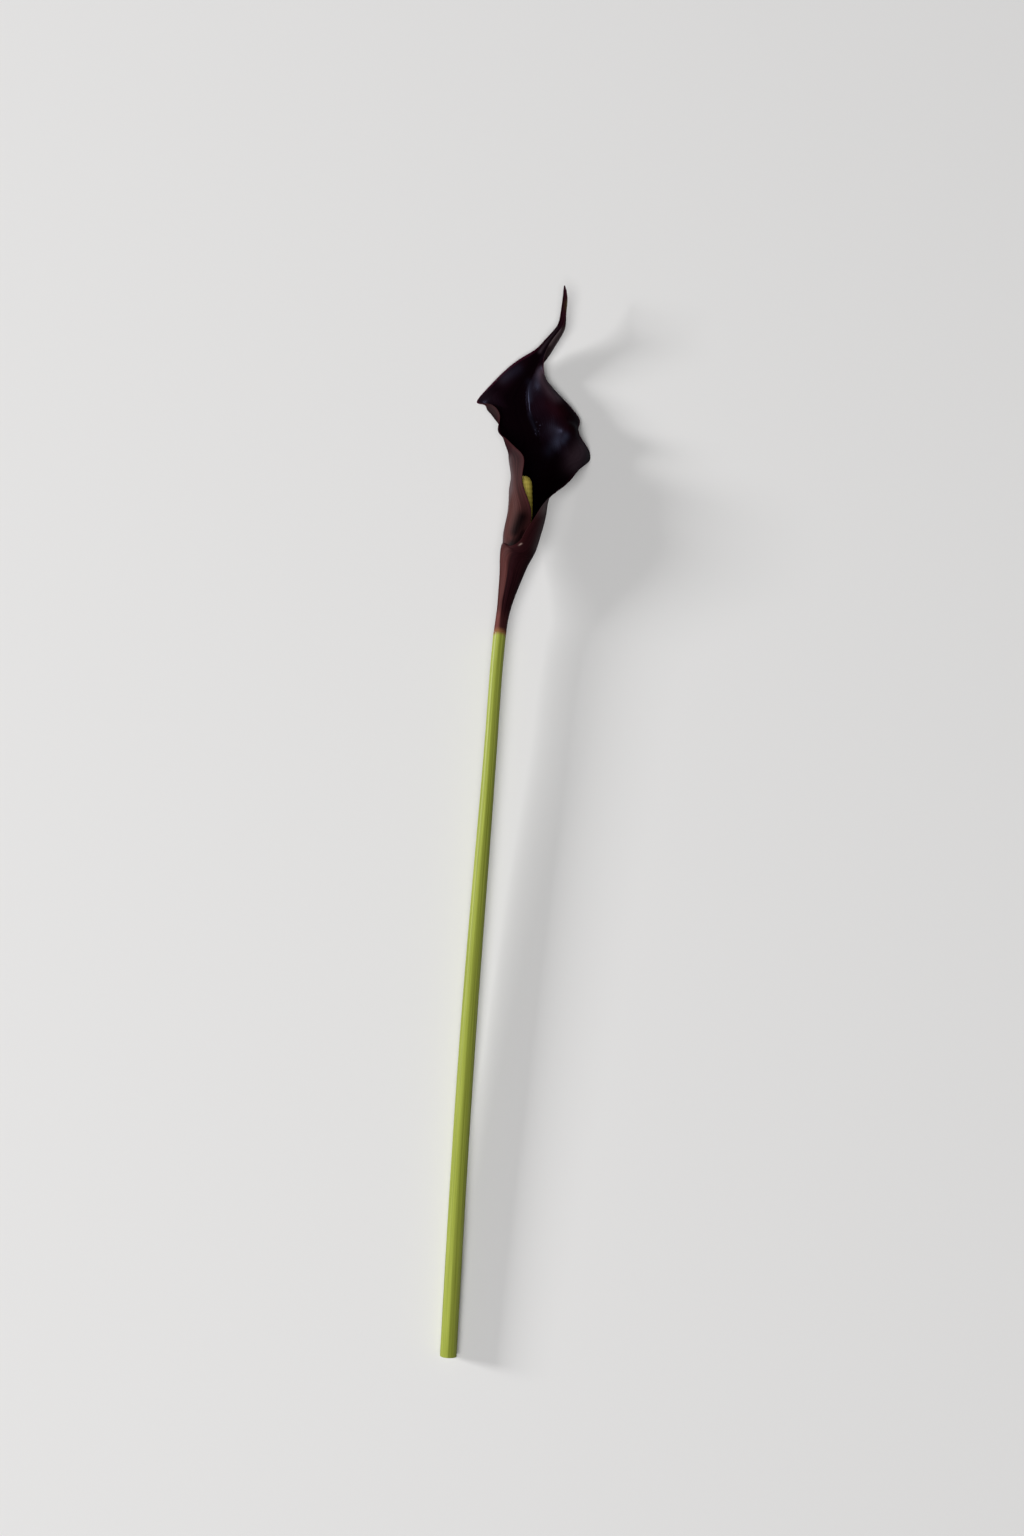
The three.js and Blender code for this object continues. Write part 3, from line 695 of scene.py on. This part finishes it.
def makeStem():
    # Rings on the centreline, radius r(v) + the sum of h cos(n a + turn), and at the top a slim
    # core that runs on into the spathe's foot. The cut is a disc of rings, a little hollowed.
    form = stemForm
    at = np.linspace(0, 1, form["rows"])
    centre, forward = splineThrough(stemLine, at)
    length = np.linalg.norm(np.diff(centre, axis=0), axis=1).sum()
    shoulder = 1 - form["coreLength"] / length
    # a few more rings, close together, make its shoulder square
    at = np.sort(np.concatenate([at, shoulder + np.array([-0.12, -0.04, 0, 0.04]) / length]))
    centre, forward = splineThrough(stemLine, at)
    girth = naturalSpline(np.array(form["girthAt"]) * shoulder, np.array(form["girth"])[:, None],
                          np.minimum(at, shoulder))[:, 0]
    inCore = smoothStep((at - shoulder) * length, -0.05, 0.05)
    radius = girth + (form["coreRadius"] - girth) * inCore
    angle = np.linspace(0, 2 * np.pi, form["around"], endpoint=False)[None, :]
    ribbed = sum(height * np.cos(count * angle + turn) for count, height, turn in form["ribs"])
    out = radius[:, None] + ribbed * (1 - inCore)[:, None]
    sideways, upward = ringFrames(forward)
    share = np.linspace(0, 0.97, form["cutRings"])
    sunk = form["cutHollow"] * np.sqrt(1 - share ** 6)
    cutMiddle = centre[:1] + sunk[:, None] * forward[:1]
    cut = ringsRound(cutMiddle, sideways[:1], upward[:1], share[:, None] * out[:1], angle)[1:]
    rings = np.concatenate([cut, ringsRound(centre, sideways, upward, out, angle)])
    rows, count = rings.shape[:2]
    points = np.concatenate([rings.reshape(-1, 3), cutMiddle[:1], centre[-1:]])
    quads = cappedRings(rows, count)
    isCut = np.concatenate([np.repeat(np.arange(rows - 1) < len(cut), count),
                            np.ones(count), np.zeros(count)])
    uv = np.stack([np.tile(np.arange(count) / count, rows),
                   np.repeat(np.arange(rows) / rows, count)], axis=-1)
    uv = np.concatenate([uv, [[0.5, 0], [0.5, 1]]])
    piece = makeMesh("stemStalk", points, quads, {"green": neckGreen(points)}, isCut, uv)
    piece.data.set_sharp_from_angle(angle=0.9)  # only the cut's edge is that sharp
    return piece


print("stem: stalk and cut end")
stem = makeStem()
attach(stem, "root")
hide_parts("stem")


def newMaterial(name):
    # An empty node material.
    material = bpy.data.materials.new(name)
    material.use_nodes = True
    material.node_tree.nodes.clear()
    return material


def finishMaterial(material, shader):
    # Joins the shader to the material's output.
    addNode(material, "ShaderNodeOutputMaterial", links={"Surface": shader.outputs["BSDF"]})
    return material


def streaksOf(m, across, along, detail=4.0, roughness=0.6):
    # Lengthwise streaks: a noise on the grown map, stretched to so many across and so many along.
    uv = addNode(m, "ShaderNodeUVMap", {"uv_map": "grown"})
    stretch = addNode(m, "ShaderNodeMapping", {"Scale": (across, along, 1)},
                      {"Vector": uv.outputs["UV"]})
    return addNode(m, "ShaderNodeTexNoise", {"Scale": 1.0, "Detail": detail,
                                             "Roughness": roughness},
                   {"Vector": stretch.outputs["Vector"]})


def markedSkin(m, skin, colours):
    # Lays each mark's colour over the skin, as strongly as its attribute says.
    for mark, colour in colours:
        strength = addNode(m, "ShaderNodeAttribute", {"attribute_name": mark})
        skin = addNode(m, "ShaderNodeMix", {"data_type": "RGBA", 7: linear(colour)},
                       {0: strength.outputs["Fac"], 6: skin.outputs[2]})
    return skin


def neckColours(m, place, lengthwise, skin=None):
    # Changes a skin, or else plain maroon, to the neck's green through a band of rust. A cloud of
    # 4 mm patches breaks up the border, and streaks 0.5 to 0.8 mm wide and about 85 mm long vary
    # the green.
    green = addNode(m, "ShaderNodeAttribute", {"attribute_name": "green"})
    cloud = addNode(m, "ShaderNodeTexNoise", {"Scale": 250.0, "Detail": 3.0},
                    {"Vector": place.outputs["Object"]})
    shift = addNode(m, "ShaderNodeMath", {"operation": "MULTIPLY_ADD", 1: 0.4, 2: -0.2},
                    {0: cloud.outputs["Fac"]})
    broken = addNode(m, "ShaderNodeMath", {"operation": "ADD"},
                     {0: green.outputs["Fac"], 1: shift.outputs["Value"]})
    rusting = addNode(m, "ShaderNodeMapRange", {"From Min": 0.05, "From Max": 0.5,
                                                "interpolation_type": "SMOOTHSTEP"},
                      {"Value": broken.outputs["Value"]})
    greening = addNode(m, "ShaderNodeMapRange", {"From Min": 0.4, "From Max": 0.85,
                                                 "interpolation_type": "SMOOTHSTEP"},
                       {"Value": broken.outputs["Value"]})
    rust = addNode(m, "ShaderNodeMix", {"data_type": "RGBA", 6: linear("#2a1014"),
                                        7: linear("#7c5336")}, {0: rusting.outputs["Result"]})
    if skin:
        m.node_tree.links.new(skin, rust.inputs[6])
    streak = streaksOf(m, 38, lengthwise)
    streaked = addNode(m, "ShaderNodeMapRange", {"From Min": 0.3, "From Max": 0.7},
                       {"Value": streak.outputs["Fac"]})
    stalk = addNode(m, "ShaderNodeMix", {"data_type": "RGBA", 6: linear("#747d27"),
                                         7: linear("#9ca548")}, {0: streaked.outputs["Result"]})
    tone = addNode(m, "ShaderNodeMix", {"data_type": "RGBA"},
                   {0: greening.outputs["Result"], 6: rust.outputs[2], 7: stalk.outputs[2]})
    return tone.outputs[2], streak.outputs["Fac"]


def tailTint(m, under):
    # The tail turns reddish purple, with a touch of olive green below its tip.
    way = addNode(m, "ShaderNodeAttribute", {"attribute_name": "way"})
    purple = addNode(m, "ShaderNodeMapRange", {"From Min": 0.9, "From Max": 0.94},
                     {"Value": way.outputs["Fac"]})
    tail = addNode(m, "ShaderNodeMix", {"data_type": "RGBA", 7: linear("#2c1119")},
                   {0: purple.outputs["Result"], 6: under.outputs[2]})
    return markedSkin(m, tail, [("olive", "#4a431c")])


def petalInside():
    # A calla's inner skin: dense anthocyanin under a thin wax bloom. Nearly black burgundy, with
    # wine red where it is thin near a margin, and a cool soft shine on every swell. Grey sheen,
    # bluish highlights and the throat's shade are painted into its colour.
    m = newMaterial("burgundyPetalInside")
    place = addNode(m, "ShaderNodeTexCoord")
    streak = streaksOf(m, 46, 5)  # 1.4 mm wide where the sheet is widest, and 40 mm long
    # wine red in patches of about 20 mm
    cloud = addNode(m, "ShaderNodeTexNoise", {"Scale": 45.0, "Detail": 2.0},
                    {"Vector": place.outputs["Object"]})
    wine = addNode(m, "ShaderNodeAttribute", {"attribute_name": "wine"})
    clouded = addNode(m, "ShaderNodeMapRange", {"From Min": 0.35, "From Max": 0.65},
                      {"Value": cloud.outputs["Fac"]})
    patchy = addNode(m, "ShaderNodeMath", {"operation": "MULTIPLY"},
                     {0: wine.outputs["Fac"], 1: clouded.outputs["Result"]})
    skin = addNode(m, "ShaderNodeMix", {"data_type": "RGBA", 6: linear("#090205"),
                                        7: linear("#1c060a")}, {0: patchy.outputs["Value"]})
    margin = addNode(m, "ShaderNodeAttribute", {"attribute_name": "fromMargin"})
    thin = addNode(m, "ShaderNodeMapRange", {"From Min": 1.6, "From Max": 0.0, "To Max": 0.7},
                   {"Value": margin.outputs["Fac"]})
    skin = addNode(m, "ShaderNodeMix", {"data_type": "RGBA", 7: linear("#421726")},
                   {0: thin.outputs["Result"], 6: skin.outputs[2]})
    # painted grey sheen, and painted bluish highlights down the midrib and round the pucker
    skin = markedSkin(m, skin, [("greySheen", "#42343c"), ("bluishHighlight", "#282b3a")])
    # specks of pollen about 0.5 mm across, drawn coarser than real grains so that they show
    grains = addNode(m, "ShaderNodeTexVoronoi", {"Scale": 800.0},
                     {"Vector": place.outputs["Object"]})
    speck = addNode(m, "ShaderNodeMapRange", {"From Min": 0.32, "From Max": 0.2},
                    {"Value": grains.outputs["Distance"]})
    pollen = addNode(m, "ShaderNodeAttribute", {"attribute_name": "pollen"})
    fallen = addNode(m, "ShaderNodeMath", {"operation": "MULTIPLY"},
                     {0: speck.outputs["Result"], 1: pollen.outputs["Fac"]})
    skin = addNode(m, "ShaderNodeMix", {"data_type": "RGBA", 7: linear("#6c6c86")},
                   {0: fallen.outputs["Value"], 6: skin.outputs[2]})
    streaked = addNode(m, "ShaderNodeMapRange", {"From Min": 0.35, "From Max": 0.75,
                                                 "To Max": 0.3}, {"Value": streak.outputs["Fac"]})
    skin = addNode(m, "ShaderNodeMix", {"data_type": "RGBA", 7: linear("#190a12")},
                   {0: streaked.outputs["Result"], 6: skin.outputs[2]})
    # painted shade: down in the throat the skin is darkened all but black
    way = addNode(m, "ShaderNodeAttribute", {"attribute_name": "way"})
    throatShade = addNode(m, "ShaderNodeMapRange", {"From Min": 0.6, "From Max": 0.42, "To Max": 0.8},
                     {"Value": way.outputs["Fac"]})
    tone = addNode(m, "ShaderNodeMix", {"data_type": "RGBA", 7: linear("#030001")},
                   {0: throatShade.outputs["Result"], 6: tailTint(m, skin).outputs[2]})
    bump = addNode(m, "ShaderNodeBump", {"Strength": 0.6, "Distance": 0.00004},
                   {"Height": streak.outputs["Fac"]})
    dull = addNode(m, "ShaderNodeAttribute", {"attribute_name": "dull"})
    rough = addNode(m, "ShaderNodeMapRange", {"To Min": 0.31, "To Max": 0.52},
                    {"Value": dull.outputs["Fac"]})
    shader = addNode(m, "ShaderNodeBsdfPrincipled", {
        "IOR": 1.42, "Specular IOR Level": 0.09, "Specular Tint": linear("#9aa7e6"),
    }, {"Base Color": tone.outputs[2], "Roughness": rough.outputs["Result"],
        "Normal": bump.outputs["Normal"]})
    return finishMaterial(m, shader)


def petalOutside():
    # The outer skin: duller than the inner one, deep maroon under a brown bloom with fine
    # lengthwise veins, and green at the neck, where the pigment stops. Over it lie painted grey
    # sheen, painted shade and a painted highlight, and its brown and rosy tones are partly painted
    # light.
    m = newMaterial("mauvePetalOutside")
    place = addNode(m, "ShaderNodeTexCoord")
    streak = streaksOf(m, 70, 6, detail=5.0, roughness=0.65)  # 0.9 mm wide and 33 mm long
    streaked = addNode(m, "ShaderNodeMapRange", {"From Min": 0.35, "From Max": 0.68},
                       {"Value": streak.outputs["Fac"]})
    maroon = addNode(m, "ShaderNodeMix", {"data_type": "RGBA", 6: linear("#18070a"),
                                          7: linear("#2b1115")}, {0: streaked.outputs["Result"]})
    brownAndLitSide = addNode(m, "ShaderNodeMix", {"data_type": "RGBA", 6: linear("#361c19"),
                                         7: linear("#5a3734")}, {0: streaked.outputs["Result"]})
    rosyAndLit = addNode(m, "ShaderNodeMix", {"data_type": "RGBA", 6: linear("#4a2622"),
                                        7: linear("#6b3c38")}, {0: streaked.outputs["Result"]})
    # the brown bloom, which also paints the lit left flap paler than the shaded right
    brownAndLitMask = addNode(m, "ShaderNodeAttribute", {"attribute_name": "brownAndLitSide"})
    skin = addNode(m, "ShaderNodeMix", {"data_type": "RGBA"},
                   {0: brownAndLitMask.outputs["Fac"], 6: maroon.outputs[2], 7: brownAndLitSide.outputs[2]})
    # the rosy band, partly painted light on the keel's lit side
    rosyAndLitMask = addNode(m, "ShaderNodeAttribute", {"attribute_name": "rosyAndLit"})
    skin = addNode(m, "ShaderNodeMix", {"data_type": "RGBA"},
                   {0: rosyAndLitMask.outputs["Fac"], 6: skin.outputs[2], 7: rosyAndLit.outputs[2]})
    # flushed margins and a greyer fold, then painted grey sheen, painted shade under the collar and
    # a painted highlight on the lip
    skin = markedSkin(m, skin, [("flushed", "#3c191b"), ("fold", "#251b1d"), ("slateSheen", "#54484a"),
                                ("darkPigmentAndShade", "#0d0405"), ("lipHighlight", "#b99c94")])
    tone = neckColours(m, place, 2.3, tailTint(m, skin).outputs[2])[0]
    bump = addNode(m, "ShaderNodeBump", {"Strength": 0.7, "Distance": 0.00006},
                   {"Height": streak.outputs["Fac"]})
    shader = addNode(m, "ShaderNodeBsdfPrincipled", {
        "Roughness": 0.58, "IOR": 1.42, "Specular IOR Level": 0.07,
    }, {"Base Color": tone, "Normal": bump.outputs["Normal"]})
    return finishMaterial(m, shader)


def spadixPollen():
    # Packed anthers dusted with their own pollen: dull olive yellow, paler on each floret's crown
    # and darker in the joints between them, and painted paler on the side towards the mouth, as if
    # lit.
    m = newMaterial("olivePollenFlorets")
    place = addNode(m, "ShaderNodeTexCoord")
    floret = addNode(m, "ShaderNodeAttribute", {"attribute_name": "floret"})
    crown = addNode(m, "ShaderNodeMapRange", {"From Min": -0.8, "From Max": 0.8},
                    {"Value": floret.outputs["Fac"]})
    paintedLitSide = addNode(m, "ShaderNodeAttribute", {"attribute_name": "paintedLitSide"})
    # painted light: paler on the side towards the mouth
    joints = addNode(m, "ShaderNodeMix", {"data_type": "RGBA", 6: linear("#948530"),
                                          7: linear("#d2be58")}, {0: paintedLitSide.outputs["Fac"]})
    crowns = addNode(m, "ShaderNodeMix", {"data_type": "RGBA", 6: linear("#ac9d44"),
                                          7: linear("#ecd86f")}, {0: paintedLitSide.outputs["Fac"]})
    base = addNode(m, "ShaderNodeMix", {"data_type": "RGBA"},
                   {0: crown.outputs["Result"], 6: joints.outputs[2], 7: crowns.outputs[2]})
    # dust in grains of 0.4 mm, coarser than real pollen so that they show
    dust = addNode(m, "ShaderNodeTexNoise", {"Scale": 2500.0, "Detail": 2.0},
                   {"Vector": place.outputs["Object"]})
    bump = addNode(m, "ShaderNodeBump", {"Strength": 0.5, "Distance": 0.00005},
                   {"Height": dust.outputs["Fac"]})
    shader = addNode(m, "ShaderNodeBsdfPrincipled", {"Roughness": 0.75, "IOR": 1.45},
                     {"Base Color": base.outputs[2], "Normal": bump.outputs["Normal"]})
    return finishMaterial(m, shader)


def stemSkin():
    # A fleshy green stalk under a thin smooth cuticle: yellow green with darker lengthwise lines,
    # and maroon washing down from the neck.
    m = newMaterial("greenStalkSkin")
    place = addNode(m, "ShaderNodeTexCoord")
    tone, streak = neckColours(m, place, 5)
    bump = addNode(m, "ShaderNodeBump", {"Strength": 0.5, "Distance": 0.00004},
                   {"Height": streak})
    shader = addNode(m, "ShaderNodeBsdfPrincipled", {"Roughness": 0.42, "IOR": 1.43,
                                                     "Specular IOR Level": 0.3},
                     {"Base Color": tone, "Normal": bump.outputs["Normal"]})
    return finishMaterial(m, shader)


def stemFlesh():
    # The fresh cut: wet pale green pith with the dots of its vascular bundles, 1.1 mm apart.
    m = newMaterial("paleStalkCut")
    place = addNode(m, "ShaderNodeTexCoord")
    cells = addNode(m, "ShaderNodeTexVoronoi", {"Scale": 900.0},
                    {"Vector": place.outputs["Object"]})
    dots = addNode(m, "ShaderNodeMapRange", {"From Min": 0.18, "From Max": 0.3},
                   {"Value": cells.outputs["Distance"]})
    base = addNode(m, "ShaderNodeMix", {"data_type": "RGBA", 6: linear("#8f9a58"),
                                        7: linear("#c9cf9c")}, {0: dots.outputs["Result"]})
    bump = addNode(m, "ShaderNodeBump", {"Strength": 0.6, "Distance": 0.0001},
                   {"Height": dots.outputs["Result"]})
    shader = addNode(m, "ShaderNodeBsdfPrincipled", {"Roughness": 0.35, "IOR": 1.36},
                     {"Base Color": base.outputs[2], "Normal": bump.outputs["Normal"]})
    return finishMaterial(m, shader)


print("finishes: petal, spadix and stalk")
for finish in (petalOutside(), petalInside()):
    spathe.data.materials.append(finish)
spadix.data.materials.append(spadixPollen())
for finish in (stemSkin(), stemFlesh()):
    stem.data.materials.append(finish)

# The studio: pale table, soft light from the left and above, camera straight above.

studio = {
    "tableSize": 3.0,         # m
    "tableColour": "#e2e1e0",
    "cameraPlace": (-1.9, 30.27, 1362),  # mm in the frame
    "focalPixels": 2454.5,
    "imageHeight": 1536,      # pixels
    "sensorHeight": 36,       # mm
    "headPlace": (0, 0.15, 0),  # m, where the lights aim
    "keyPlace": (-5.1, 1.1, 1.35),  # low on the left
    "keySize": 1.0,
    "keyPower": 300,
    "fillPlace": (-0.7, -0.7, 4.0),  # overhead
    "fillSize": 3.0,
    "fillPower": 139,
    "roomColour": "#8f939a",
    "roomStrength": (0.1, 0.45),  # above, and below, which only the flower's sheen sees
    "backdropStrength": 2.4,  # what the camera sees past the table
}


def makeTable():
    # A flat pale square, which the flower lies on.
    half = studio["tableSize"] / 2
    mesh = bpy.data.meshes.new("table")
    mesh.from_pydata([(-half, -half, 0), (half, -half, 0), (half, half, 0), (-half, half, 0)], [],
                     [(0, 1, 2, 3)])
    table = bpy.data.objects.new("table", mesh)
    bpy.context.scene.collection.objects.link(table)
    m = newMaterial("matteTable")
    shader = addNode(m, "ShaderNodeBsdfPrincipled", {"Base Color": linear(studio["tableColour"]),
                                                     "Roughness": 0.9})
    mesh.materials.append(finishMaterial(m, shader))
    table.visible_glossy = False  # no pale mirror image of it in the flower's dark sides


def makeLight(name, place, size, power, colour, shines=True):
    # A square soft box, aimed at the flower's head; one that doesn't shine leaves no highlight.
    light = bpy.data.lights.new(name, "AREA")
    light.size = size
    light.energy = power
    light.color = linear(colour)[:3]
    lamp = bpy.data.objects.new(name, light)
    lamp.location = place
    aim = np.array(studio["headPlace"]) - np.array(place)
    lamp.rotation_euler = Vector(aim).to_track_quat("-Z", "Y").to_euler()
    lamp.visible_glossy = shines
    bpy.context.scene.collection.objects.link(lamp)


def makeCamera():
    # Straight above the table. Focal length in mm = pixels / image height x sensor height.
    camera = bpy.data.objects.new("camera", bpy.data.cameras.new("camera"))
    camera.data.sensor_fit = "VERTICAL"
    camera.data.sensor_height = studio["sensorHeight"]
    camera.data.lens = studio["focalPixels"] * studio["sensorHeight"] / studio["imageHeight"]
    camera.data.clip_start = 0.05
    camera.location = np.array(studio["cameraPlace"]) * mm
    bpy.context.scene.collection.objects.link(camera)
    bpy.context.scene.camera = camera


def makeRoom():
    # Dim above and brighter below, by the height of the way that a ray goes. The camera's own rays
    # meet a plain pale backdrop instead.
    room = bpy.data.worlds.new("paleRoom")
    bpy.context.scene.world = room
    room.use_nodes = True
    background = room.node_tree.nodes["Background"]
    background.inputs["Color"].default_value = linear(studio["roomColour"])
    toward = addNode(room, "ShaderNodeTexCoord")
    height = addNode(room, "ShaderNodeSeparateXYZ", links={"Vector": toward.outputs["Generated"]})
    above, below = studio["roomStrength"]
    glow = addNode(room, "ShaderNodeMapRange", {"From Min": 0.0, "From Max": -0.4, "To Min": above,
                                                "To Max": below}, {"Value": height.outputs["Z"]})
    ray = addNode(room, "ShaderNodeLightPath")
    seen = addNode(room, "ShaderNodeMix", {"data_type": "FLOAT", 3: studio["backdropStrength"]},
                   {0: ray.outputs["Is Camera Ray"], 2: glow.outputs["Result"]})
    room.node_tree.links.new(seen.outputs[0], background.inputs["Strength"])


print("studio: table, lights, room and camera")
makeTable()
makeLight("keySoftbox", studio["keyPlace"], studio["keySize"], studio["keyPower"], "#ffffff")
makeLight("fillSoftbox", studio["fillPlace"], studio["fillSize"], studio["fillPower"], "#ffffff",
          shines=False)
makeRoom()
bpy.context.scene.view_settings.view_transform = "Standard"
makeCamera()
